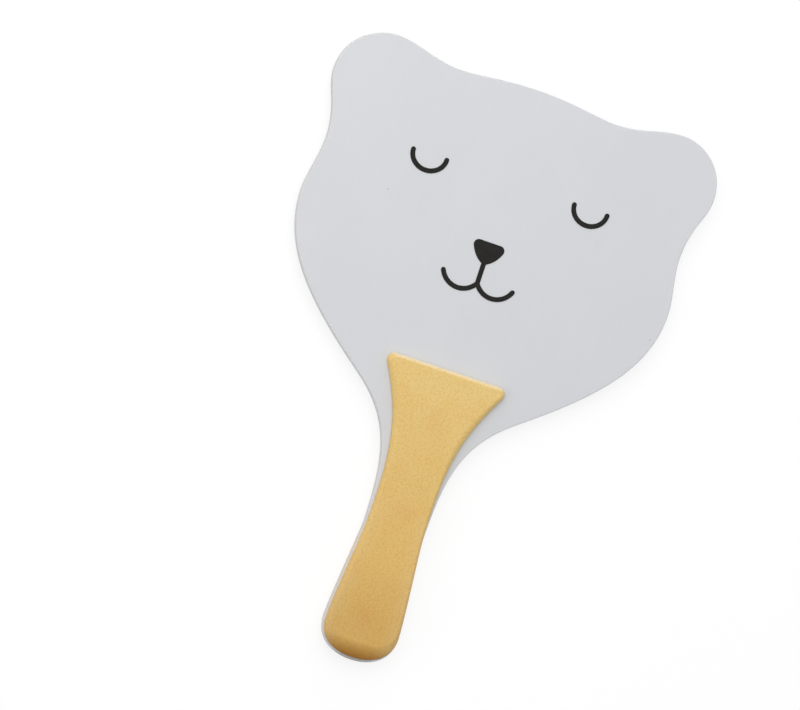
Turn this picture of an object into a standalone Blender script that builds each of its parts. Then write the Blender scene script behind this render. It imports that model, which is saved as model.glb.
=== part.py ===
"""Beach game paddle with a sleeping bear's face.

A five-ply wooden board, cut as a bear's head on a handle, lies flat with its printed face up.
A moulded foam grip pad is stuck to each side of the handle. Metres, +Z up, +Y towards the ears.
The origin is under the middle of the paddle, level with the flat outer face of the back pad.
Every height along the paddle is measured from the end of the handle, and every drop from the ear tops.
"""

from math import acos, cos, pi, radians, sin, tan

import bmesh
import bpy
from mathutils import Vector
from mathutils.geometry import interpolate_bezier

# Board outline
HEAD_LENGTH = 0.180
HANDLE_LENGTH = 0.150
HEAD_WIDTH = 0.2245
CROWN_DROP = 0.003
DIP_DROP = 0.0065
DIP_INSET = 0.0665
EAR_ROUND = 0.0275
EAR_SIDE_DROP = 0.028
NOTCH_DROP = 0.065
NOTCH_INSET = 0.008
CHEEK_DROP = 0.0955
CHEEK_INSET = 0.004
JAW_WIDTH = 0.0933
JAW_SLOPE = radians(37)
NECK_WIDTH = 0.034
NECK_HEIGHT = 0.0715
HEEL_WIDTH = 0.043
HEEL_HEIGHT = 0.018

# Fullness of the outline's stretches, leaving and arriving, as shares of each stretch's chord
CROWN_FULLNESS = (0.47, 0.25)
EAR_RISE_FULLNESS = (0.405, 0.33)
EAR_FULLNESS = (0.32, 0.46)
EAR_FALL_FULLNESS = (0.29, 0.50)
CHEEK_FULLNESS = (0.31, 0.26)
JAW_FULLNESS = (0.305, 0.475)
THROAT_FULLNESS = (0.38, 0.475)
TAPER_FULLNESS = (0.12, 0.185)
END_FULLNESS = (0.34, 0.535)

# Board thickness
PLY_THICKNESS = 0.00115
ARRIS_RADIUS = 0.0006
GLUE_LINE = 0.0001

# Grip pads
PAD_THICKNESS = 0.004
PAD_WALL = 0.0004
PAD_SIDE_MARGIN = 0.0002
PAD_END_MARGIN = 0.0016
PAD_RISE = 0.0167
PAD_TOP_WIDTH = 0.0687
PAD_CORNER_RADIUS = 0.004
PAD_FLARE_ANGLE = radians(29)
PAD_FLARE_FULLNESS = (0.291, 0.551)
PAD_NECK_SPREAD = radians(3)
PAD_EDGE_ROLL = 0.0020
PAD_END_ROLL = 0.0086
PAD_ROLL_EXPONENT = 1.5
PAD_END_REACH = 0.024
SHOULDER_DROP = 0.013
SHOULDER_REACH = 0.035
SHOULDER_ROLL = 0.0024
SHOULDER_EXPONENT = 0.5
ADHESIVE_THICKNESS = 0.0003
ADHESIVE_INSET = 0.0002

# Printed face
INK_THICKNESS = 0.00015
STROKE = 0.0027
EYE_SPACING = 0.095
EYE_DROP = 0.0555
EYE_WIDTH = 0.0195
EYE_DEPTH = 0.0088
NOSE_DROP = 0.0901
NOSE_WIDTH = 0.0178
NOSE_HEIGHT = 0.0122
NOSE_CORNER_RADIUS = 0.0028
NOSE_SIDE_ANGLE = radians(24)
NOSE_TIP_ANGLE = radians(62)
NOSE_SIDE_FULLNESS = (0.40, 0.34)
STEM_LENGTH = 0.0111
MOUTH_RADIUS = 0.0115
MOUTH_JOIN_ANGLE = radians(31)
MOUTH_END_ANGLE = radians(24)

# Gap kept between faces that are stuck together or printed on one another
SEAT_GAP = 0.0001

# Points along a stretch of outline, round a small arc, and up a rounded edge
OUTLINE_STEPS = 9
ARC_STEPS = 8
STROKE_STEPS = 20
ARRIS_STEPS = 3
PAD_ROLL_STEPS = 5

# Largest share of a ply or of a corner that its rounding may take, and how a rounding is shaped and shaded
ROUNDING_LIMIT = 0.95
ROUND_PROFILE = 0.5
SMOOTH_ANGLE = radians(40)

# Fullness that spaces the points of a straight stretch evenly
STRAIGHT_FULLNESS = (1 / 3, 1 / 3)

INNER_PLIES = ("back_crossband", "core_ply", "front_crossband")
PLY_COUNT = len(INNER_PLIES) + 2

OVERALL_LENGTH = HANDLE_LENGTH + HEAD_LENGTH
BOARD_THICKNESS = PLY_COUNT * PLY_THICKNESS + (PLY_COUNT - 1) * GLUE_LINE
BOARD_BACK = PAD_THICKNESS + ADHESIVE_THICKNESS + 2 * SEAT_GAP
BOARD_FRONT = BOARD_BACK + BOARD_THICKNESS

RIGHT = 0.0
DOWN = -0.5 * pi
LEFT = pi

PAINT_GREY = (0.67, 0.68, 0.70)
RAW_WOOD = (0.62, 0.47, 0.30)
FOAM_YELLOW = (0.70, 0.48, 0.18)
INK_BLACK = (0.026, 0.025, 0.023)
FILM_WHITE = (0.80, 0.79, 0.75)
PAINT_ROUGHNESS = 0.55
WOOD_ROUGHNESS = 0.70
FOAM_ROUGHNESS = 0.75
INK_ROUGHNESS = 0.50
FILM_ROUGHNESS = 0.40

for leftover in list(bpy.data.objects):
    bpy.data.objects.remove(leftover, do_unlink=True)

paddle = bpy.data.collections.new("beach_game_paddle")
bpy.context.scene.collection.children.link(paddle)
handle_end = bpy.data.objects.new("handle_end", None)
handle_end.location = (0, -OVERALL_LENGTH / 2, 0)
paddle.objects.link(handle_end)


def heading_vector(heading):
    """Unit vector in the plane of the board, for an angle counted anticlockwise from +X."""
    return Vector((cos(heading), sin(heading)))


def half_outline(knots, fullness, steps):
    """Points down the right half of an outline, whose first and last knots lie on the mirror line.

    A knot is a point and the heading of the outline there. Each stretch leaves and arrives along
    a handle as long as its fullness times the distance between its two knots.
    """
    points = []
    for (start, start_heading), (finish, finish_heading), (leave, arrive) in zip(knots, knots[1:], fullness):
        chord = (finish - start).length
        handle_out = start + heading_vector(start_heading) * leave * chord
        handle_in = finish - heading_vector(finish_heading) * arrive * chord
        points += interpolate_bezier(start, handle_out, handle_in, finish, steps + 1)[:-1]
    points.append(knots[-1][0])
    return [Vector(point[:2]) for point in points]


def mirrored(half):
    """The closed outline, clockwise seen from the front, of a right half that ends on the mirror line."""
    left_half = [Vector((-point.x, point.y)) for point in reversed(half[1:-1])]
    return half + left_half


def arc(centre, radius, start_angle, end_angle, steps):
    """Points along a circular arc, both ends included."""
    turn = (end_angle - start_angle) / steps
    return [centre + heading_vector(start_angle + turn * step) * radius for step in range(steps + 1)]


def arc_fullness(turn):
    """Fullness at both ends of a stretch that follows a circular arc."""
    handle = (4 / 3) * tan(turn / 4)
    chord = 2 * sin(turn / 2)
    share = handle / chord
    return (share, share)


def board_outline():
    """The bear's head and the handle, from the crown round the right side and back."""
    side = HEAD_WIDTH / 2
    top = OVERALL_LENGTH
    knots = [
        (Vector((0, top - CROWN_DROP)), RIGHT),
        (Vector((side - DIP_INSET, top - DIP_DROP)), RIGHT),
        (Vector((side - EAR_ROUND, top)), RIGHT),
        (Vector((side, top - EAR_SIDE_DROP)), DOWN),
        (Vector((side - NOTCH_INSET, top - NOTCH_DROP)), DOWN),
        (Vector((side - CHEEK_INSET, top - CHEEK_DROP)), DOWN),
        (Vector((JAW_WIDTH / 2, HANDLE_LENGTH)), LEFT + JAW_SLOPE),
        (Vector((NECK_WIDTH / 2, NECK_HEIGHT)), DOWN),
        (Vector((HEEL_WIDTH / 2, HEEL_HEIGHT)), DOWN),
        (Vector((0, 0)), LEFT),
    ]
    fullness = [
        CROWN_FULLNESS,
        EAR_RISE_FULLNESS,
        EAR_FULLNESS,
        EAR_FALL_FULLNESS,
        CHEEK_FULLNESS,
        JAW_FULLNESS,
        THROAT_FULLNESS,
        TAPER_FULLNESS,
        END_FULLNESS,
    ]
    return mirrored(half_outline(knots, fullness, OUTLINE_STEPS))


def pad_outline(inset):
    """The grip pad's outline, drawn in by an inset: it follows the handle and flares to a straight top."""
    side_margin = PAD_SIDE_MARGIN + inset
    top = HANDLE_LENGTH + PAD_RISE - inset
    corner_radius = PAD_CORNER_RADIUS - inset
    corner = Vector((PAD_TOP_WIDTH / 2 - PAD_CORNER_RADIUS, top - corner_radius))
    knots = [
        (Vector((0, top)), RIGHT),
        (Vector((corner.x, top)), RIGHT),
        (corner + heading_vector(-PAD_FLARE_ANGLE) * corner_radius, DOWN - PAD_FLARE_ANGLE),
        (Vector((NECK_WIDTH / 2 - side_margin, NECK_HEIGHT)), DOWN + PAD_NECK_SPREAD),
        (Vector((HEEL_WIDTH / 2 - side_margin, HEEL_HEIGHT)), DOWN),
        (Vector((0, PAD_END_MARGIN + inset)), LEFT),
    ]
    fullness = [
        STRAIGHT_FULLNESS,
        arc_fullness(PAD_FLARE_ANGLE - DOWN),
        PAD_FLARE_FULLNESS,
        TAPER_FULLNESS,
        END_FULLNESS,
    ]
    return mirrored(half_outline(knots, fullness, OUTLINE_STEPS))


def eye_outline():
    """A closed eyelid: a stroke with round ends along the lower half of an ellipse, about its middle."""
    half_width = EYE_WIDTH / 2
    half_stroke = STROKE / 2
    bend = [pi + pi * step / STROKE_STEPS for step in range(STROKE_STEPS + 1)]
    outer = [Vector(((half_width + half_stroke) * cos(a), (EYE_DEPTH + half_stroke) * sin(a))) for a in bend]
    inner = [Vector(((half_width - half_stroke) * cos(a), (EYE_DEPTH - half_stroke) * sin(a))) for a in bend]
    right_end = arc(Vector((half_width, 0)), half_stroke, 0, pi, ARC_STEPS)
    left_end = arc(Vector((-half_width, 0)), half_stroke, 0, pi, ARC_STEPS)
    return outer[:-1] + right_end[:-1] + inner[::-1][:-1] + left_end[:-1]


def nose_and_mouth_outline():
    """A rounded triangular nose, a stem and two mouth curves in one outline, about the nose's top middle."""
    half_stroke = STROKE / 2
    corner = Vector((NOSE_WIDTH / 2 - NOSE_CORNER_RADIUS, -NOSE_CORNER_RADIUS))
    nose_corner = arc(corner, NOSE_CORNER_RADIUS, pi / 2, -NOSE_SIDE_ANGLE, ARC_STEPS)
    nose_side = half_outline(
        [
            (nose_corner[-1], DOWN - NOSE_SIDE_ANGLE),
            (Vector((half_stroke, -NOSE_HEIGHT)), DOWN - NOSE_TIP_ANGLE),
        ],
        [NOSE_SIDE_FULLNESS],
        ARC_STEPS,
    )

    centre_x = MOUTH_RADIUS * cos(MOUTH_JOIN_ANGLE)
    join_y = -NOSE_HEIGHT - STEM_LENGTH
    centre = Vector((centre_x, join_y + MOUTH_RADIUS * sin(MOUTH_JOIN_ANGLE)))
    inner_radius = MOUTH_RADIUS - half_stroke
    outer_radius = MOUTH_RADIUS + half_stroke
    stem_angle = -acos((half_stroke - centre_x) / inner_radius)
    notch_angle = -acos(-centre_x / outer_radius)
    mouth_end = centre + heading_vector(-MOUTH_END_ANGLE) * MOUTH_RADIUS
    inner = arc(centre, inner_radius, stem_angle, -MOUTH_END_ANGLE, STROKE_STEPS)
    rounded_end = arc(mouth_end, half_stroke, pi - MOUTH_END_ANGLE, -MOUTH_END_ANGLE, ARC_STEPS)
    outer = arc(centre, outer_radius, -MOUTH_END_ANGLE, notch_angle, STROKE_STEPS)
    nose_middle = [Vector((0, 0))]
    return mirrored(nose_middle + nose_corner + nose_side[1:] + inner + rounded_end[1:-1] + outer)


def inward_normals(outline):
    """Unit vectors that point into a clockwise outline, one at each of its points."""
    normals = []
    for index, point in enumerate(outline):
        previous = outline[index - 1]
        following = outline[(index + 1) % len(outline)]
        tangent = (following - previous).normalized()
        normals.append(Vector((tangent.y, -tangent.x)))
    return normals


def eased(distance, reach):
    """1 at no distance, running smoothly down to 0 where the distance is the reach."""
    nearness = max(0, 1 - distance / reach)
    return nearness * nearness * (3 - 2 * nearness)


def pad_roll(point):
    """How far in the pad's rolled edge reaches at a point of its outline, and the exponent of its curve.

    The edge is narrow along the handle, wide round its end, and wider and rounder on the flare's shoulder.
    """
    edge_roll = min(PAD_EDGE_ROLL, ROUNDING_LIMIT * PAD_CORNER_RADIUS)
    at_end = (PAD_END_ROLL - edge_roll) * eased(point.y, PAD_END_REACH)
    shoulder = eased(abs(point.y - (HANDLE_LENGTH - SHOULDER_DROP)), SHOULDER_REACH)
    roll = edge_roll + at_end + SHOULDER_ROLL * shoulder
    return roll, PAD_ROLL_EXPONENT + SHOULDER_EXPONENT * shoulder


def material(name, colour, roughness):
    """A Principled material of one colour."""
    made = bpy.data.materials.new(name)
    made.use_nodes = True
    shader = made.node_tree.nodes["Principled BSDF"]
    shader.inputs["Base Color"].default_value = (*colour, 1)
    shader.inputs["Roughness"].default_value = roughness
    shader.inputs["Metallic"].default_value = 0
    made.diffuse_color = (*colour, 1)
    return made


def finished_mesh(name, shape):
    """The mesh of a closed shape, shaded smooth except at its sharp edges."""
    bmesh.ops.recalc_face_normals(shape, faces=shape.faces)
    mesh = bpy.data.meshes.new(name)
    shape.to_mesh(mesh)
    shape.free()
    mesh.shade_smooth()
    mesh.set_sharp_from_angle(angle=SMOOTH_ANGLE)
    return mesh


def veneer_mesh(outline):
    """A face veneer with its glued side at height zero and a rounded arris round its outer side."""
    shape = bmesh.new()
    glued_side = shape.faces.new([shape.verts.new((point.x, point.y, 0)) for point in outline])
    raised = bmesh.ops.extrude_face_region(shape, geom=[glued_side])["geom"]
    raised_verts = [element for element in raised if isinstance(element, bmesh.types.BMVert)]
    outer_sides = [element for element in raised if isinstance(element, bmesh.types.BMFace)]
    bmesh.ops.translate(shape, verts=raised_verts, vec=(0, 0, PLY_THICKNESS))
    bmesh.ops.bevel(
        shape,
        geom=outer_sides[0].edges[:],
        offset=min(ARRIS_RADIUS, ROUNDING_LIMIT * PLY_THICKNESS),
        offset_type="OFFSET",
        segments=ARRIS_STEPS,
        profile=ROUND_PROFILE,
        affect="EDGES",
    )
    return finished_mesh("face_veneer", shape)


def grip_pad_mesh():
    """A foam pad with its stuck side at height zero: a low wall and an edge that rolls over to a flat top.

    The roll is a quarter of a superellipse, whose exponent is 2 for an ellipse and 1 for a plain slope.
    """
    outline = pad_outline(0)
    inward = inward_normals(outline)
    shape = bmesh.new()
    rings = [[shape.verts.new((point.x, point.y, 0)) for point in outline]]
    for step in range(PAD_ROLL_STEPS + 1):
        angle = 0.5 * pi * step / PAD_ROLL_STEPS
        ring = []
        for point, normal in zip(outline, inward):
            roll, exponent = pad_roll(point)
            power = 2 / exponent
            spot = point + normal * roll * (1 - cos(angle) ** power)
            height = PAD_WALL + (PAD_THICKNESS - PAD_WALL) * sin(angle) ** power
            ring.append(shape.verts.new((spot.x, spot.y, height)))
        rings.append(ring)
    for lower, upper in zip(rings, rings[1:]):
        for index in range(len(outline)):
            following = (index + 1) % len(outline)
            shape.faces.new((lower[following], lower[index], upper[index], upper[following]))
    shape.faces.new(rings[0])
    shape.faces.new(rings[-1])
    return finished_mesh("grip_pad", shape)


def flat_curve(name, outline, thickness):
    """A filled outline of even thickness, centred on its own plane."""
    curve = bpy.data.curves.new(name, "CURVE")
    curve.dimensions = "2D"
    curve.fill_mode = "BOTH"
    curve.extrude = thickness / 2
    spline = curve.splines.new("POLY")
    spline.points.add(len(outline) - 1)
    for spline_point, point in zip(spline.points, outline):
        spline_point.co = (point.x, point.y, 0, 1)
    spline.use_cyclic_u = True
    return curve


def place(name, data, finish, location, facing_back=False):
    """One named piece of the paddle, turned over about the paddle's length if it faces the back."""
    piece = bpy.data.objects.new(name, data)
    piece.location = location
    piece.rotation_euler = (0, pi if facing_back else 0, 0)
    piece.parent = handle_end
    if not data.materials:
        data.materials.append(finish)
    paddle.objects.link(piece)
    return piece


def add_plies():
    """Five plies, stuck face to face, the outer two with a rounded arris."""
    outline = board_outline()
    paint = material("painted_veneer", PAINT_GREY, PAINT_ROUGHNESS)
    wood = material("poplar_ply", RAW_WOOD, WOOD_ROUGHNESS)

    veneer = veneer_mesh(outline)
    place("front_face_veneer", veneer, paint, (0, 0, BOARD_FRONT - PLY_THICKNESS))
    place("back_face_veneer", veneer, paint, (0, 0, BOARD_BACK + PLY_THICKNESS), facing_back=True)

    pitch = PLY_THICKNESS + GLUE_LINE
    inner_ply = flat_curve("inner_ply", outline, PLY_THICKNESS)
    for layer, name in enumerate(INNER_PLIES, start=1):
        middle = BOARD_BACK + layer * pitch + PLY_THICKNESS / 2
        place(name, inner_ply, wood, (0, 0, middle))


def add_grips():
    """A foam pad on each side of the handle, on a slightly smaller film of adhesive."""
    foam = material("yellow_foam", FOAM_YELLOW, FOAM_ROUGHNESS)
    film = material("adhesive_film", FILM_WHITE, FILM_ROUGHNESS)
    pad = grip_pad_mesh()
    adhesive = flat_curve("grip_adhesive", pad_outline(ADHESIVE_INSET), ADHESIVE_THICKNESS)

    for side, board_face, outwards in (("front", BOARD_FRONT, 1), ("back", BOARD_BACK, -1)):
        film_middle = board_face + outwards * (SEAT_GAP + ADHESIVE_THICKNESS / 2)
        pad_seat = board_face + outwards * (2 * SEAT_GAP + ADHESIVE_THICKNESS)
        place(f"{side}_grip_adhesive", adhesive, film, (0, 0, film_middle))
        place(f"{side}_grip_pad", pad, foam, (0, 0, pad_seat), facing_back=outwards < 0)


def add_face_print():
    """Two closed eyes, and a nose with its mouth, in ink on the front of the board."""
    ink = material("dark_ink", INK_BLACK, INK_ROUGHNESS)
    ink_middle = BOARD_FRONT + SEAT_GAP + INK_THICKNESS / 2
    eye = flat_curve("closed_eye", eye_outline(), INK_THICKNESS)
    eye_height = OVERALL_LENGTH - EYE_DROP
    place("left_eye_print", eye, ink, (-EYE_SPACING / 2, eye_height, ink_middle))
    place("right_eye_print", eye, ink, (EYE_SPACING / 2, eye_height, ink_middle))

    nose_and_mouth = flat_curve("nose_and_mouth", nose_and_mouth_outline(), INK_THICKNESS)
    place("nose_and_mouth_print", nose_and_mouth, ink, (0, OVERALL_LENGTH - NOSE_DROP, ink_middle))


add_plies()
add_grips()
add_face_print()
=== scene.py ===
"""Looks of the beach game paddle: fine plies, foam grips, printed face, studio floor, lights and camera."""

from math import cos, pi, radians, sin, tan

import bmesh
import bpy
from mathutils import Matrix, Vector, noise
from mathutils.geometry import interpolate_bezier


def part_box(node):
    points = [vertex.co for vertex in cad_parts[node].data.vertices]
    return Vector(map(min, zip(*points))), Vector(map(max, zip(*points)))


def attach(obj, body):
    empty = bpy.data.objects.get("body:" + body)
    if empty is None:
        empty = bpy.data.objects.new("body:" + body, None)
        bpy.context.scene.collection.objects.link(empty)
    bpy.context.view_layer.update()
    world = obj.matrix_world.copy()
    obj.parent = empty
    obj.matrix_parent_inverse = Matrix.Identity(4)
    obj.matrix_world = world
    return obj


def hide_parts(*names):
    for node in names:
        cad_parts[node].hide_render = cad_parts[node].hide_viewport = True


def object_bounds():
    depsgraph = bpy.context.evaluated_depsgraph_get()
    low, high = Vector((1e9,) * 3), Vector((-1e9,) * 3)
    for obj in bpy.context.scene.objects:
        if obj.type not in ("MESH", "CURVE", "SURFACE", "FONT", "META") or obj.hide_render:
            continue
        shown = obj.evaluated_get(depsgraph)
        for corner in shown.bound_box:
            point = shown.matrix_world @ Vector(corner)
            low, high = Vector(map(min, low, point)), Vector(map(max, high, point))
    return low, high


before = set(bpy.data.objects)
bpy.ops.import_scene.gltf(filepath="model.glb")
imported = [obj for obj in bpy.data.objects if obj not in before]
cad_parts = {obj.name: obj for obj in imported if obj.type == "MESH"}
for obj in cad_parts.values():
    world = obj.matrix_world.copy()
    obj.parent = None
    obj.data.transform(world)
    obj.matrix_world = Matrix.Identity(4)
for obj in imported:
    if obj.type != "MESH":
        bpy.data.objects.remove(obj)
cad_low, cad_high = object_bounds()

# Sizes of the paddle, the same as those its solids are built from
HEAD_LENGTH = 0.180
HANDLE_LENGTH = 0.150
HEAD_WIDTH = 0.2245
CROWN_DROP = 0.003
DIP_DROP = 0.0065
DIP_INSET = 0.0665
EAR_ROUND = 0.0275
EAR_SIDE_DROP = 0.028
NOTCH_DROP = 0.065
NOTCH_INSET = 0.008
CHEEK_DROP = 0.0955
CHEEK_INSET = 0.004
JAW_WIDTH = 0.0933
JAW_SLOPE = radians(37)
NECK_WIDTH = 0.034
NECK_HEIGHT = 0.0715
HEEL_WIDTH = 0.043
HEEL_HEIGHT = 0.018
ARRIS_RADIUS = 0.0006
PAD_WALL = 0.0004
PAD_SIDE_MARGIN = 0.0002
PAD_END_MARGIN = 0.0016
PAD_RISE = 0.0167
PAD_TOP_WIDTH = 0.0687
PAD_CORNER_RADIUS = 0.004
PAD_FLARE_ANGLE = radians(29)
PAD_NECK_SPREAD = radians(3)
PAD_EDGE_ROLL = 0.0020
PAD_END_ROLL = 0.0086
PAD_ROLL_EXPONENT = 1.5
PAD_END_REACH = 0.024
SHOULDER_DROP = 0.013
SHOULDER_REACH = 0.035
SHOULDER_ROLL = 0.0024
SHOULDER_EXPONENT = 0.5
OVERALL_LENGTH = HANDLE_LENGTH + HEAD_LENGTH

# Fullness of the outline's stretches, leaving and arriving, as shares of each stretch's chord
CROWN_FULLNESS = (0.47, 0.25)
EAR_RISE_FULLNESS = (0.405, 0.33)
EAR_FULLNESS = (0.32, 0.46)
EAR_FALL_FULLNESS = (0.29, 0.50)
CHEEK_FULLNESS = (0.31, 0.26)
JAW_FULLNESS = (0.305, 0.475)
THROAT_FULLNESS = (0.38, 0.475)
TAPER_FULLNESS = (0.12, 0.185)
END_FULLNESS = (0.34, 0.535)
STRAIGHT_FULLNESS = (1 / 3, 1 / 3)
PAD_FLARE_FULLNESS = (0.291, 0.551)

RIGHT = 0.0
DOWN = -0.5 * pi
LEFT = pi

# Points along each stretch of the board's outline and round a ply's edges, the rounding of an edge that lies
# inside the board, and the strip that keeps the flat face flat beside a rounded edge
BOARD_STEPS = 28
ARRIS_STEPS = 6
PLY_ROUND = 0.00012
HOLD_WIDTH = 0.0006

# Points along the stretches of the pad's outline, and across its rolled edge
PAD_TOP_STEPS = 30
PAD_CORNER_STEPS = 12
PAD_FLARE_STEPS = 72
PAD_TAPER_STEPS = 46
PAD_END_STEPS = 54
PAD_ROLL_STEPS = 12

# Unevenness of the foam: height and size of its swells, and how steeply they rise from the flat rim
FOAM_SWELL = 0.00006
FOAM_SWELL_SIZE = 0.011
FOAM_SWELL_RISE = 6

# How fast the bends of the pad's top edge and of its end fade into the straight rows between them
ROW_BEND_POWER = 3


def heading_vector(heading):
    """Unit vector in the plane of the board, for an angle counted anticlockwise from +X."""
    return Vector((cos(heading), sin(heading)))


def half_outline(knots, fullness, steps):
    """Points down the right half of an outline, each stretch a Bezier with its own number of steps."""
    points = []
    stretches = zip(knots, knots[1:], fullness, steps)
    for (start, start_heading), (finish, finish_heading), (leave, arrive), count in stretches:
        chord = (finish - start).length
        handle_out = start + heading_vector(start_heading) * leave * chord
        handle_in = finish - heading_vector(finish_heading) * arrive * chord
        points += interpolate_bezier(start, handle_out, handle_in, finish, count + 1)[:-1]
    points.append(knots[-1][0])
    return [Vector(point[:2]) for point in points]


def mirrored(half):
    """The closed outline, clockwise seen from the front, of a right half that ends on the mirror line."""
    left_half = [Vector((-point.x, point.y)) for point in reversed(half[1:-1])]
    return half + left_half


def arc_fullness(turn):
    """Fullness at both ends of a stretch that follows a circular arc."""
    handle = (4 / 3) * tan(turn / 4)
    chord = 2 * sin(turn / 2)
    return (handle / chord, handle / chord)


def board_outline():
    """The bear's head and the handle, from the crown round the right side and back."""
    side = HEAD_WIDTH / 2
    top = OVERALL_LENGTH
    knots = [
        (Vector((0, top - CROWN_DROP)), RIGHT),
        (Vector((side - DIP_INSET, top - DIP_DROP)), RIGHT),
        (Vector((side - EAR_ROUND, top)), RIGHT),
        (Vector((side, top - EAR_SIDE_DROP)), DOWN),
        (Vector((side - NOTCH_INSET, top - NOTCH_DROP)), DOWN),
        (Vector((side - CHEEK_INSET, top - CHEEK_DROP)), DOWN),
        (Vector((JAW_WIDTH / 2, HANDLE_LENGTH)), LEFT + JAW_SLOPE),
        (Vector((NECK_WIDTH / 2, NECK_HEIGHT)), DOWN),
        (Vector((HEEL_WIDTH / 2, HEEL_HEIGHT)), DOWN),
        (Vector((0, 0)), LEFT),
    ]
    fullness = [
        CROWN_FULLNESS,
        EAR_RISE_FULLNESS,
        EAR_FULLNESS,
        EAR_FALL_FULLNESS,
        CHEEK_FULLNESS,
        JAW_FULLNESS,
        THROAT_FULLNESS,
        TAPER_FULLNESS,
        END_FULLNESS,
    ]
    return mirrored(half_outline(knots, fullness, [BOARD_STEPS] * len(fullness)))


def pad_outline():
    """The grip pad's outline: it follows the handle and flares to a straight top."""
    top = HANDLE_LENGTH + PAD_RISE
    corner = Vector((PAD_TOP_WIDTH / 2 - PAD_CORNER_RADIUS, top - PAD_CORNER_RADIUS))
    knots = [
        (Vector((0, top)), RIGHT),
        (Vector((corner.x, top)), RIGHT),
        (corner + heading_vector(-PAD_FLARE_ANGLE) * PAD_CORNER_RADIUS, DOWN - PAD_FLARE_ANGLE),
        (Vector((NECK_WIDTH / 2 - PAD_SIDE_MARGIN, NECK_HEIGHT)), DOWN + PAD_NECK_SPREAD),
        (Vector((HEEL_WIDTH / 2 - PAD_SIDE_MARGIN, HEEL_HEIGHT)), DOWN),
        (Vector((0, PAD_END_MARGIN)), LEFT),
    ]
    fullness = [
        STRAIGHT_FULLNESS,
        arc_fullness(PAD_FLARE_ANGLE - DOWN),
        PAD_FLARE_FULLNESS,
        TAPER_FULLNESS,
        END_FULLNESS,
    ]
    steps = [PAD_TOP_STEPS, PAD_CORNER_STEPS, PAD_FLARE_STEPS, PAD_TAPER_STEPS, PAD_END_STEPS]
    return mirrored(half_outline(knots, fullness, steps))


def inward_normals(outline):
    """Unit vectors that point into a clockwise outline, one at each of its points."""
    normals = []
    for index in range(len(outline)):
        tangent = (outline[(index + 1) % len(outline)] - outline[index - 1]).normalized()
        normals.append(Vector((tangent.y, -tangent.x)))
    return normals


def ring_at(shape, outline, inward, inset, height):
    """A ring of vertices along an outline; its inset and height may be lists, with a value for each point."""
    insets = inset if isinstance(inset, list) else [inset] * len(outline)
    heights = height if isinstance(height, list) else [height] * len(outline)
    ring = []
    for point, normal, depth, level in zip(outline, inward, insets, heights):
        spot = point + normal * depth
        ring.append(shape.verts.new((spot.x, spot.y - OVERALL_LENGTH / 2, level)))
    return ring


def bridge(shape, lower, upper):
    """Quads between two rings of the same length."""
    for index in range(len(lower)):
        following = (index + 1) % len(lower)
        shape.faces.new((lower[following], lower[index], upper[index], upper[following]))


def finished_piece(name, shape, finish, record_slot, *nodes):
    """The shape as a smooth piece that rides on the paddle in place of its solids."""
    bmesh.ops.recalc_face_normals(shape, faces=shape.faces)
    mesh = bpy.data.meshes.new(name)
    shape.to_mesh(mesh)
    shape.free()
    mesh.shade_smooth()
    mesh.materials.append(finish)
    piece = bpy.data.objects.new(name, mesh)
    bpy.context.scene.collection.objects.link(piece)
    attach(piece, "root")
    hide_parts(*nodes)
    return piece


def ply(name, outline, node, finish, record_slot, front_round, back_round):
    """One ply with its own rounding at the front and at the back of its edge."""
    low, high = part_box(node)
    inward = inward_normals(outline)
    shape = bmesh.new()
    levels = [(back_round + HOLD_WIDTH, low.z)]
    for step in range(ARRIS_STEPS + 1):
        angle = 0.5 * pi * step / ARRIS_STEPS
        levels.append((back_round * (1 - sin(angle)), low.z + back_round * (1 - cos(angle))))
    for step in range(ARRIS_STEPS + 1):
        angle = 0.5 * pi * step / ARRIS_STEPS
        levels.append((front_round * (1 - cos(angle)), high.z - front_round * (1 - sin(angle))))
    levels.append((front_round + HOLD_WIDTH, high.z))
    rings = [ring_at(shape, outline, inward, inset, height) for inset, height in levels]
    for lower, upper in zip(rings, rings[1:]):
        bridge(shape, lower, upper)
    shape.faces.new(rings[0])
    shape.faces.new(rings[-1])
    finished_piece(name, shape, finish, record_slot, node)


def eased(distance, reach):
    """1 at no distance, running smoothly down to 0 where the distance is the reach."""
    nearness = max(0, 1 - distance / reach)
    return nearness * nearness * (3 - 2 * nearness)


def pad_roll(point):
    """How far in the pad's rolled edge reaches at a point of its outline, and the power of its curve."""
    at_end = (PAD_END_ROLL - PAD_EDGE_ROLL) * eased(point.y, PAD_END_REACH)
    shoulder = eased(abs(point.y - (HANDLE_LENGTH - SHOULDER_DROP)), SHOULDER_REACH)
    roll = PAD_EDGE_ROLL + at_end + SHOULDER_ROLL * shoulder
    return roll, 2 / (PAD_ROLL_EXPONENT + SHOULDER_EXPONENT * shoulder)


def shares_across(side):
    """How far across each vertex of a side lies, from 0 at its first to 1 at its last."""
    width = side[-1].co.x - side[0].co.x
    return [(vertex.co.x - side[0].co.x) / width for vertex in side]


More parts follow.
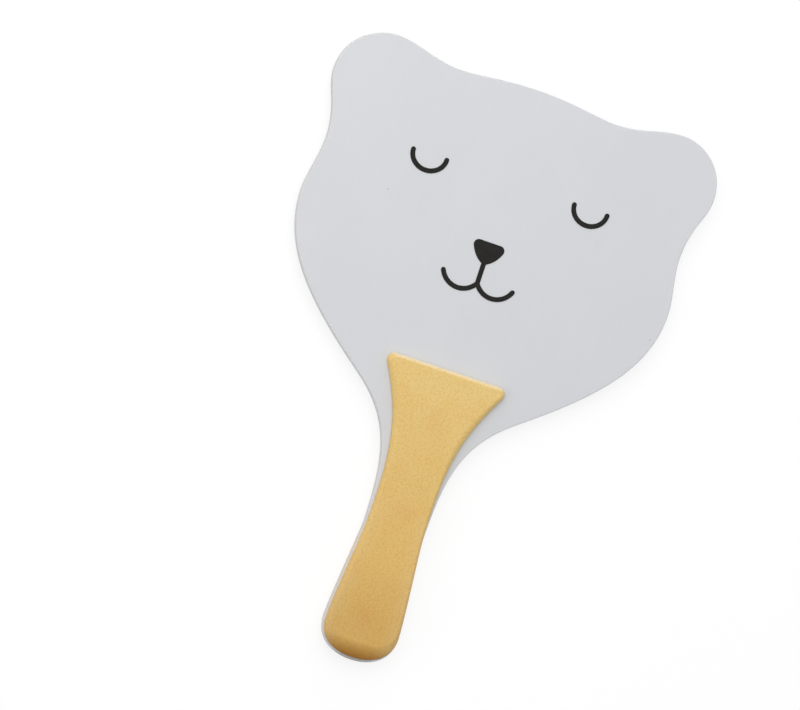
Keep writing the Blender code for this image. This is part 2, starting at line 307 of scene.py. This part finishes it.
def grip_pad(name, node, finish, outwards):
    """A foam pad on one side of the handle: a low wall, a rolled edge and a gently uneven top."""
    low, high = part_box(node)
    seat = low.z if outwards > 0 else high.z
    thickness = high.z - low.z
    outline = pad_outline()
    inward = inward_normals(outline)
    edge = [pad_roll(point) for point in outline]
    shape = bmesh.new()

    def height(rise):
        return seat + outwards * rise

    full_rise = thickness - FOAM_SWELL - PAD_WALL
    rings = [ring_at(shape, outline, inward, 0, height(0))]
    for step in range(PAD_ROLL_STEPS + 1):
        angle = 0.5 * pi * step / PAD_ROLL_STEPS
        insets = [roll * (1 - cos(angle) ** power) for roll, power in edge]
        heights = [height(PAD_WALL + full_rise * sin(angle) ** power) for _, power in edge]
        rings.append(ring_at(shape, outline, inward, insets, heights))
    for lower, upper in zip(rings, rings[1:]):
        bridge(shape, lower, upper)
    shape.faces.new(rings[0])

    # The flat top is a grid between four sides of the last ring: its top edge, its end and its two long sides
    rim = rings[-1]
    count = len(rim)
    half_top = PAD_TOP_STEPS + PAD_CORNER_STEPS // 2
    right = rim[half_top : count // 2 - half_top + 1]
    end = [rim[index] for index in range(count // 2 + half_top, count // 2 - half_top - 1, -1)]
    left = [rim[index % count] for index in range(count - half_top, count // 2 + half_top - 1, -1)]
    top = [rim[index % count] for index in range(-half_top, half_top + 1)]
    grid = [top]
    last_row = len(right) - 1
    top_shares = shares_across(top)
    end_shares = shares_across(end)
    for row in range(1, last_row):
        v = row / last_row
        line = [left[row]]
        for column in range(1, len(top) - 1):
            u = top_shares[column] * (1 - v) + end_shares[column] * v
            spot = left[row].co.lerp(right[row].co, u)
            spot.y += (top[column].co.y - top[0].co.y) * (1 - v) ** ROW_BEND_POWER
            spot.y += (end[column].co.y - end[0].co.y) * v ** ROW_BEND_POWER
            from_rim = (4 * u * (1 - u)) * (4 * v * (1 - v))
            swell = noise.noise(spot / FOAM_SWELL_SIZE + Vector((0, 0, outwards)))
            spot.z = rim[0].co.z + outwards * FOAM_SWELL * swell * min(1, FOAM_SWELL_RISE * from_rim)
            line.append(shape.verts.new(spot))
        line.append(right[row])
        grid.append(line)
    grid.append(end)
    for upper, lower in zip(grid, grid[1:]):
        for index in range(len(top) - 1):
            shape.faces.new((upper[index], upper[index + 1], lower[index + 1], lower[index]))
    pad = finished_piece(name, shape, finish, "grip_foam", node)


# Colours, in linear light
PAINT = (0.668, 0.676, 0.697, 1)
PAINT_SHADE = (0.650, 0.660, 0.684, 1)
THIN_PAINT = (0.70, 0.695, 0.685, 1)
THIN_PAINT_SHADE = (0.65, 0.635, 0.605, 1)
# Colour of the painted shade along the end of the handle
PAINTED_END_SHADE = (0.28, 0.255, 0.21, 1)
SPECK = (0.27, 0.265, 0.26, 1)
# The foam's colours from top to end are painted light and shade: lighter at the top, darker down the handle,
# deepest at the end
FOAM_TOP = (0.800, 0.574, 0.213, 1)
FOAM_MIDDLE = (0.746, 0.482, 0.143, 1)
FOAM_LOW = (0.658, 0.408, 0.112, 1)
FOAM_END_SHADE = (0.355, 0.148, 0.004, 1)
# Pale colour of the painted highlight on the pad's top edge and of the painted sheen on its sides
FOAM_SHEEN = (0.88, 0.80, 0.62, 1)
INK = (0.0115, 0.0108, 0.0093, 1)
INK_THIN = (0.019, 0.018, 0.0156, 1)
FILM = (0.80, 0.79, 0.75, 1)
FILM_SHADE = (0.73, 0.71, 0.66, 1)

# Tints, which multiply the foam's colour; the crease tint is painted shade in the grain's creases and the tip
# tint a painted highlight on its pebbles
BLOTCH_TINT = (1.0, 0.95, 0.86, 1)
PATCH_TINT = (0.985, 0.935, 0.955, 1)
CREASE_SHADE_TINT = (0.915, 0.885, 0.84, 1)
TIP_HIGHLIGHT_TINT = (1.025, 1.045, 1.10, 1)

# Specular level of each finish
PAINT_GLOSS = 0.35
PLY_GLOSS = 0.3
FOAM_GLOSS = 0.45
INK_GLOSS = 0.15
FILM_GLOSS = 0.4

# Scale of each pattern, as repeats to the metre; fibres have one for each axis
PAINT_FIBRES = (800.0, 30.0, 800.0)
PAINT_CLOUDS = 24.0
PAINT_SATIN = 130.0
PAINT_STIPPLE = 900.0
PLY_FIBRES_ALONG = (1500.0, 70.0, 1500.0)
PLY_FIBRES_ACROSS = (70.0, 1500.0, 1500.0)
PLY_PATCHES = 90.0
FOAM_BLOTCHES = 75.0
FOAM_WAVES = 260.0
FOAM_CELLS = 950.0
FOAM_WANDER = 700.0
INK_CLOUDS = 320.0
INK_STIPPLE = 1100.0
FILM_CLOUDS = 450.0

# Depth of each relief
PAINT_FIBRE_DEPTH = 0.00003
PAINT_STIPPLE_DEPTH = 0.000012
PLY_FIBRE_DEPTH = 0.00006
FOAM_WAVE_DEPTH = 0.00003
FOAM_CELL_DEPTH = 0.000045
INK_STIPPLE_DEPTH = 0.00001
FILM_DEPTH = 0.00002

# Two specks in the paint, and painted shade along the end of the handle
SPECK_PLACES = ((-0.0635, 0.0844, 0.01065), (0.1027, 0.0527, 0.01065))
SPECK_RADIUS = 0.0005
SPECK_SHARE = 0.6
PAINTED_END_SHADE_SPAN = (-0.1652, -0.1618)
PAINTED_END_SHADE_SHARE = 0.8

# Where along the paddle the foam's colours run into each other, as painted light and shade: lighter at the
# top, darker down the handle and deepest at its end
FOAM_END_SHADE_SPAN = (-0.1625, -0.1535)
FOAM_LOW_SPAN = (-0.142, -0.105)
FOAM_UPPER_SPAN = (-0.105, 0.0)

# Three soft, deeper patches along the middle of the front pad
PATCH_PLACES = ((0.001, -0.026, 0.01515), (0.0, -0.079, 0.01515), (-0.002, -0.140, 0.01515))
PATCH_RADIUS = 0.010

# Painted light on the foam: a painted highlight on the top edge, by how far the surface faces up the paddle,
# and a painted sheen along both sides
TOP_HIGHLIGHT_FACING = (0.5, 0.95)
TOP_HIGHLIGHT_SHARE = 0.68
SIDE_SHEEN_REACH = 0.010
SIDE_SHEEN_SHARE = 0.10
SIDE_SHEEN_FADE = (-0.100, -0.060)

# How far noise moves the edges of the foam's cells
CELL_SHIFT = 0.0005


def fill(tree, socket, value):
    """Links an output to a socket, or sets the socket to a plain value."""
    if isinstance(value, bpy.types.NodeSocket):
        tree.links.new(value, socket)
    else:
        socket.default_value = value


def add_node(tree, kind, sockets, **settings):
    """A shader node with its settings made and its sockets filled by name."""
    node = tree.nodes.new("ShaderNode" + kind)
    for setting, value in settings.items():
        setattr(node, setting, value)
    for socket, value in sockets.items():
        fill(tree, node.inputs[socket], value)
    return node


def blend(tree, factor, first, second, mode="MIX"):
    """The colour between two others, or the first tinted by the second where the mode is MULTIPLY."""
    node = add_node(tree, "Mix", {}, data_type="RGBA", blend_type=mode)
    for socket, value in zip((node.inputs[0], node.inputs[6], node.inputs[7]), (factor, first, second)):
        fill(tree, socket, value)
    return node.outputs[2]


def between(tree, value, low, high, to_low=0.0, to_high=1.0):
    """A value moved from one range to another and held inside it."""
    ranges = {"Value": value, "From Min": low, "From Max": high, "To Min": to_low, "To Max": to_high}
    return add_node(tree, "MapRange", ranges).outputs["Result"]


def sums(tree, operation, first, second=0.0):
    """One number, or two, put through a sum such as MULTIPLY or ABSOLUTE."""
    node = add_node(tree, "Math", {}, operation=operation)
    fill(tree, node.inputs[0], first)
    fill(tree, node.inputs[1], second)
    return node.outputs["Value"]


def stretched(tree, place, by):
    """Coordinates scaled along each axis, which draws a pattern out along the axis of the smallest number."""
    node = add_node(tree, "VectorMath", {}, operation="MULTIPLY")
    fill(tree, node.inputs[0], place)
    node.inputs[1].default_value = by
    return node.outputs["Vector"]


def cloud(tree, place, scale, detail=2.0):
    """Soft noise from 0 to 1."""
    return add_node(tree, "TexNoise", {"Vector": place, "Scale": scale, "Detail": detail}).outputs["Fac"]


def bumps(tree, height, depth, under=None):
    """A normal roughened by a height from 0 to 1, on top of another normal if there is one."""
    node = add_node(tree, "Bump", {"Height": height, "Distance": depth})
    if under:
        tree.links.new(under, node.inputs["Normal"])
    return node.outputs["Normal"]


def axis_part(tree, vector, axis):
    """One coordinate of a vector."""
    return add_node(tree, "SeparateXYZ", {"Vector": vector}).outputs[axis]


def distance_from(tree, place, spot):
    """How far each place lies from one spot."""
    node = add_node(tree, "VectorMath", {}, operation="DISTANCE")
    fill(tree, node.inputs[0], place)
    node.inputs[1].default_value = spot
    return node.outputs["Value"]


def wandering(tree, place, scale, reach):
    """Coordinates moved about by noise, so that a pattern drawn in them isn't regular."""
    drift = add_node(tree, "TexNoise", {"Vector": place, "Scale": scale, "Detail": 2.0})
    moved = add_node(tree, "VectorMath", {"Scale": reach}, operation="SCALE")
    fill(tree, moved.inputs[0], drift.outputs["Color"])
    shifted = add_node(tree, "VectorMath", {}, operation="ADD")
    fill(tree, shifted.inputs[0], place)
    fill(tree, shifted.inputs[1], moved.outputs["Vector"])
    return shifted.outputs["Vector"]


def new_material(name, colour, gloss):
    """A material with its node tree and the coordinates its patterns are drawn in."""
    made = bpy.data.materials.new(name)
    made.use_nodes = True
    made.diffuse_color = colour
    tree = made.node_tree
    tree.nodes["Principled BSDF"].inputs["Specular IOR Level"].default_value = gloss
    return made, tree, tree.nodes.new("ShaderNodeTexCoord").outputs


def finish_material(tree, colour, roughness, normal):
    """Joins the patterns to the shader."""
    shader = tree.nodes["Principled BSDF"]
    fill(tree, shader.inputs["Base Color"], colour)
    fill(tree, shader.inputs["Roughness"], roughness)
    fill(tree, shader.inputs["Normal"], normal)


def thin_paint(tree, place, fibre_scale):
    """Paint that has soaked into the edge of a ply, with the ply's fibres showing faintly."""
    fibres = cloud(tree, stretched(tree, place, fibre_scale), scale=1.0, detail=4.0)
    patches = between(tree, cloud(tree, place, PLY_PATCHES, detail=3.0), 0.3, 0.7, to_low=0.25, to_high=0.85)
    showing = sums(tree, "MULTIPLY", between(tree, fibres, 0.42, 0.68), patches)
    return blend(tree, showing, THIN_PAINT, THIN_PAINT_SHADE), fibres


def painted_veneer():
    """Satin paint over veneer: faint clouds, fibres and two specks, thin at the arris, with painted shade
    darkening the end of the handle.
    """
    made, tree, coordinates = new_material("painted_veneer", PAINT, PAINT_GLOSS)
    place = coordinates["Object"]
    fibres = cloud(tree, stretched(tree, place, PAINT_FIBRES), scale=1.0, detail=4.0)
    clouds = cloud(tree, place, PAINT_CLOUDS, detail=3.0)
    shade = sums(tree, "ADD", between(tree, clouds, 0.35, 0.65, to_high=0.7),
                 between(tree, fibres, 0.35, 0.7, to_high=0.45))
    colour = blend(tree, shade, PAINT, PAINT_SHADE)
    for spot in SPECK_PLACES:
        away = distance_from(tree, place, spot)
        mark = between(tree, away, 0.5 * SPECK_RADIUS, SPECK_RADIUS, to_low=SPECK_SHARE, to_high=0.0)
        colour = blend(tree, mark, colour, SPECK)
    upright = sums(tree, "ABSOLUTE", axis_part(tree, coordinates["Normal"], "Z"))
    edge_colour, _ = thin_paint(tree, place, PLY_FIBRES_ALONG)
    colour = blend(tree, between(tree, upright, 0.35, 0.9, to_low=1.0, to_high=0.0), colour, edge_colour)
    # Painted shade: the paint darkens along the end of the handle, where shade falls beside the pad's end
    end_shade = between(tree, axis_part(tree, place, "Y"), *PAINTED_END_SHADE_SPAN, to_low=PAINTED_END_SHADE_SHARE, to_high=0.0)
    colour = blend(tree, end_shade, colour, PAINTED_END_SHADE)
    satin = cloud(tree, place, PAINT_SATIN, detail=3.0)
    roughness = between(tree, satin, 0.3, 0.7, to_low=0.48, to_high=0.58)
    grain = bumps(tree, fibres, PAINT_FIBRE_DEPTH)
    normal = bumps(tree, cloud(tree, place, PAINT_STIPPLE), PAINT_STIPPLE_DEPTH, under=grain)
    finish_material(tree, colour, roughness, normal)
    return made


def ply_edge(name, fibre_scale):
    """The painted edge of an inner ply whose fibres run one way."""
    made, tree, coordinates = new_material(name, THIN_PAINT, PLY_GLOSS)
    colour, fibres = thin_paint(tree, coordinates["Object"], fibre_scale)
    roughness = between(tree, fibres, 0.3, 0.7, to_low=0.55, to_high=0.7)
    finish_material(tree, colour, roughness, bumps(tree, fibres, PLY_FIBRE_DEPTH))
    return made


def side_sheen(tree, place, along):
    """How much painted sheen lies on the foam near its two long sides, most towards the end of the handle."""
    half_width = between(
        tree, along,
        HEEL_HEIGHT - OVERALL_LENGTH / 2, NECK_HEIGHT - OVERALL_LENGTH / 2,
        to_low=HEEL_WIDTH / 2 - PAD_SIDE_MARGIN, to_high=NECK_WIDTH / 2 - PAD_SIDE_MARGIN,
    )
    from_middle = sums(tree, "ABSOLUTE", axis_part(tree, place, "X"))
    from_side = sums(tree, "SUBTRACT", half_width, from_middle)
    near_side = between(tree, from_side, 0.0, SIDE_SHEEN_REACH, to_low=SIDE_SHEEN_SHARE, to_high=0.0)
    return sums(tree, "MULTIPLY", near_side, between(tree, along, *SIDE_SHEEN_FADE, to_low=1.0, to_high=0.0))


def grip_foam():
    """Moulded foam: a leathery grain and faint blotches, with painted light and shade down its length,
    deepest at its end, painted shade and highlight in its grain, and a painted highlight and sheen on its
    edges.
    """
    made, tree, coordinates = new_material("grip_foam", FOAM_MIDDLE, FOAM_GLOSS)
    place = coordinates["Object"]
    along = axis_part(tree, place, "Y")
    # Painted light and shade along the handle: lighter at the top, darker lower down, deepest at the end
    upper = blend(tree, between(tree, along, *FOAM_UPPER_SPAN), FOAM_MIDDLE, FOAM_TOP)
    body = blend(tree, between(tree, along, *FOAM_LOW_SPAN), FOAM_LOW, upper)
    colour = blend(tree, between(tree, along, *FOAM_END_SHADE_SPAN), FOAM_END_SHADE, body)
    # Painted highlight on the top edge, where the surface faces up the paddle
    facing_up = axis_part(tree, coordinates["Normal"], "Y")
    top_edge_highlight = between(tree, facing_up, *TOP_HIGHLIGHT_FACING, to_high=TOP_HIGHLIGHT_SHARE)
    colour = blend(tree, top_edge_highlight, colour, FOAM_SHEEN)
    # Painted sheen along the long sides of the pad
    colour = blend(tree, side_sheen(tree, place, along), colour, FOAM_SHEEN)
    blotches = between(tree, cloud(tree, place, FOAM_BLOTCHES, detail=4.0), 0.45, 0.72)
    colour = blend(tree, blotches, colour, BLOTCH_TINT, "MULTIPLY")
    for spot in PATCH_PLACES:
        patch = between(tree, distance_from(tree, place, spot), 0.0, PATCH_RADIUS, to_low=1.0, to_high=0.0)
        colour = blend(tree, patch, colour, PATCH_TINT, "MULTIPLY")
    cell_place = wandering(tree, place, FOAM_WANDER, CELL_SHIFT)
    cells = add_node(tree, "TexVoronoi", {"Vector": cell_place, "Scale": FOAM_CELLS}).outputs
    from_tip = cells["Distance"]
    # Painted shade in the creases between the grain's pebbles, and a painted highlight on their tips
    colour = blend(tree, between(tree, from_tip, 0.42, 0.8), colour, CREASE_SHADE_TINT, "MULTIPLY")
    tip_highlight = between(tree, from_tip, 0.1, 0.4, to_low=1.0, to_high=0.0)
    colour = blend(tree, tip_highlight, colour, TIP_HIGHLIGHT_TINT, "MULTIPLY")
    roughness = between(tree, axis_part(tree, cells["Color"], "X"), 0.0, 1.0, to_low=0.52, to_high=0.66)
    waves = bumps(tree, cloud(tree, place, FOAM_WAVES, detail=3.0), FOAM_WAVE_DEPTH)
    pebbles = between(tree, from_tip, 0.0, 0.85, to_low=1.0, to_high=0.0)
    finish_material(tree, colour, roughness, bumps(tree, pebbles, FOAM_CELL_DEPTH, under=waves))
    return made


def printed_ink():
    """Matte dark ink, a little thinner in places."""
    made, tree, coordinates = new_material("printed_ink", INK, INK_GLOSS)
    place = coordinates["Object"]
    thin = between(tree, cloud(tree, place, INK_CLOUDS, detail=4.0), 0.45, 0.75)
    colour = blend(tree, thin, INK, INK_THIN)
    roughness = between(tree, thin, 0.0, 1.0, to_low=0.55, to_high=0.7)
    finish_material(tree, colour, roughness, bumps(tree, cloud(tree, place, INK_STIPPLE), INK_STIPPLE_DEPTH))
    return made


def adhesive_film():
    """Pale double-sided film with a faint paper-like cloud."""
    made, tree, coordinates = new_material("adhesive_film", FILM, FILM_GLOSS)
    mottle = cloud(tree, coordinates["Object"], FILM_CLOUDS, detail=4.0)
    colour = blend(tree, between(tree, mottle, 0.35, 0.7), FILM, FILM_SHADE)
    roughness = between(tree, mottle, 0.3, 0.7, to_low=0.38, to_high=0.5)
    finish_material(tree, colour, roughness, bumps(tree, mottle, FILM_DEPTH))
    return made


paint = painted_veneer()
long_ply = ply_edge("ply_edge_long_grain", PLY_FIBRES_ALONG)
cross_ply = ply_edge("ply_edge_cross_grain", PLY_FIBRES_ACROSS)
foam = grip_foam()
ink = printed_ink()
film = adhesive_film()

outline = board_outline()
ply("front_veneer", outline, "front_face_veneer", paint, "painted_veneer", ARRIS_RADIUS, PLY_ROUND)
ply("front_band", outline, "front_crossband", cross_ply, "inner_ply", PLY_ROUND, PLY_ROUND)
ply("core", outline, "core_ply", long_ply, "inner_ply", PLY_ROUND, PLY_ROUND)
ply("back_band", outline, "back_crossband", cross_ply, "inner_ply", PLY_ROUND, PLY_ROUND)
ply("back_veneer", outline, "back_face_veneer", paint, "painted_veneer", PLY_ROUND, ARRIS_RADIUS)
grip_pad("front_grip", "front_grip_pad", foam, 1)
grip_pad("back_grip", "back_grip_pad", foam, -1)

for node in ("left_eye_print", "right_eye_print", "nose_and_mouth_print"):
    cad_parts[node].material_slots[0].material = ink
for node in ("front_grip_adhesive", "back_grip_adhesive"):
    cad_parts[node].material_slots[0].material = film

# Camera at the photograph's viewing angle; its sensor and lens are in millimetres
SENSOR_WIDTH = 36
LENS = 164.93
VIEW_REACH = 20
CAMERA_PLACE = (-0.432888, -0.002398, 1.962882)
CAMERA_RIGHT = Vector((0.92846861, 0.31726833, 0.19309803))
CAMERA_UP = Vector((-0.3109983, 0.94833418, -0.06278803))
CAMERA_BACK = Vector((-0.20304212, -0.00175644, 0.97916843))
camera_data = bpy.data.cameras.new("camera")
camera_data.sensor_width = SENSOR_WIDTH
camera_data.lens = LENS
camera_data.clip_end = VIEW_REACH
camera = bpy.data.objects.new("camera", camera_data)
turn = Matrix((CAMERA_RIGHT, CAMERA_UP, CAMERA_BACK)).transposed().to_4x4()
camera.matrix_world = Matrix.Translation(CAMERA_PLACE) @ turn
bpy.context.scene.collection.objects.link(camera)
bpy.context.scene.camera = camera


def seen_rays(tree):
    """1 for a ray of the camera and for its reflection or refraction, 0 for a ray that only carries light."""
    path = tree.nodes.new("ShaderNodeLightPath").outputs
    seen = sums(tree, "MAXIMUM", path["Is Camera Ray"], path["Is Glossy Ray"])
    return sums(tree, "MAXIMUM", seen, path["Is Transmission Ray"])


# White floor: rays from the camera see it mostly by its own glow, so that it is white with a faint shadow
FLOOR_SIZE = 8.0
FLOOR_COLOUR = (0.8, 0.8, 0.8, 1)
SEEN_FLOOR_COLOUR = (0.22, 0.22, 0.22, 1)
FLOOR_GLOW = 0.80
floor_material = bpy.data.materials.new("white_floor")
floor_material.use_nodes = True
tree = floor_material.node_tree
tree.nodes.remove(tree.nodes["Principled BSDF"])
seen = seen_rays(tree)
diffuse = add_node(tree, "BsdfDiffuse", {"Color": blend(tree, seen, FLOOR_COLOUR, SEEN_FLOOR_COLOUR)})
glow = add_node(tree, "Emission", {"Strength": sums(tree, "MULTIPLY", seen, FLOOR_GLOW)})
both = tree.nodes.new("ShaderNodeAddShader")
tree.links.new(diffuse.outputs["BSDF"], both.inputs[0])
tree.links.new(glow.outputs["Emission"], both.inputs[1])
tree.links.new(both.outputs["Shader"], tree.nodes["Material Output"].inputs["Surface"])
floor_mesh = bpy.data.meshes.new("floor")
corner = FLOOR_SIZE / 2
floor_corners = [(-corner, -corner, 0), (corner, -corner, 0), (corner, corner, 0), (-corner, corner, 0)]
floor_mesh.from_pydata(floor_corners, [], [(0, 1, 2, 3)])
floor_mesh.materials.append(floor_material)
floor = bpy.data.objects.new("floor", floor_mesh)
floor.location.z = cad_low.z
bpy.context.scene.collection.objects.link(floor)

# Soft light: a dome a little brighter beyond the ears, a large lamp above them, a weak one at the left
# of the handle, and a low one beyond the ears that catches the upper edges. The camera sees the dome white
DOME_LEVEL = 0.568
DOME_SLOPE = 0.20
DOME_BRIGHT_SIDE = (-0.30, 0.93, 0.20)
world = bpy.data.worlds.new("studio")
bpy.context.scene.world = world
world.use_nodes = True
tree = world.node_tree
outwards = tree.nodes.new("ShaderNodeTexCoord").outputs["Generated"]
towards = add_node(tree, "VectorMath", {}, operation="DOT_PRODUCT")
tree.links.new(outwards, towards.inputs[0])
towards.inputs[1].default_value = DOME_BRIGHT_SIDE
dome = between(tree, towards.outputs["Value"], -1.0, 1.0, DOME_LEVEL - DOME_SLOPE, DOME_LEVEL + DOME_SLOPE)
tree.links.new(sums(tree, "MAXIMUM", dome, seen_rays(tree)), tree.nodes["Background"].inputs["Strength"])
tree.nodes["Background"].inputs["Color"].default_value = (1, 1, 1, 1)


def soft_lamp(name, place, size, power):
    """A square area lamp that faces the middle of the paddle."""
    data = bpy.data.lights.new(name, "AREA")
    data.shape = "SQUARE"
    data.size = size
    data.energy = power
    lamp = bpy.data.objects.new(name, data)
    lamp.location = place
    lamp.rotation_euler = (-Vector(place)).to_track_quat("-Z", "Y").to_euler()
    bpy.context.scene.collection.objects.link(lamp)


soft_lamp("key", (-0.27, 0.50, 0.95), size=0.9, power=5.1)
soft_lamp("fill", (-1.30, -0.45, 0.85), size=0.8, power=2.5)
soft_lamp("rim", (-0.20, 1.30, 0.42), size=0.5, power=1.3)

bpy.context.scene.view_settings.view_transform = "Standard"
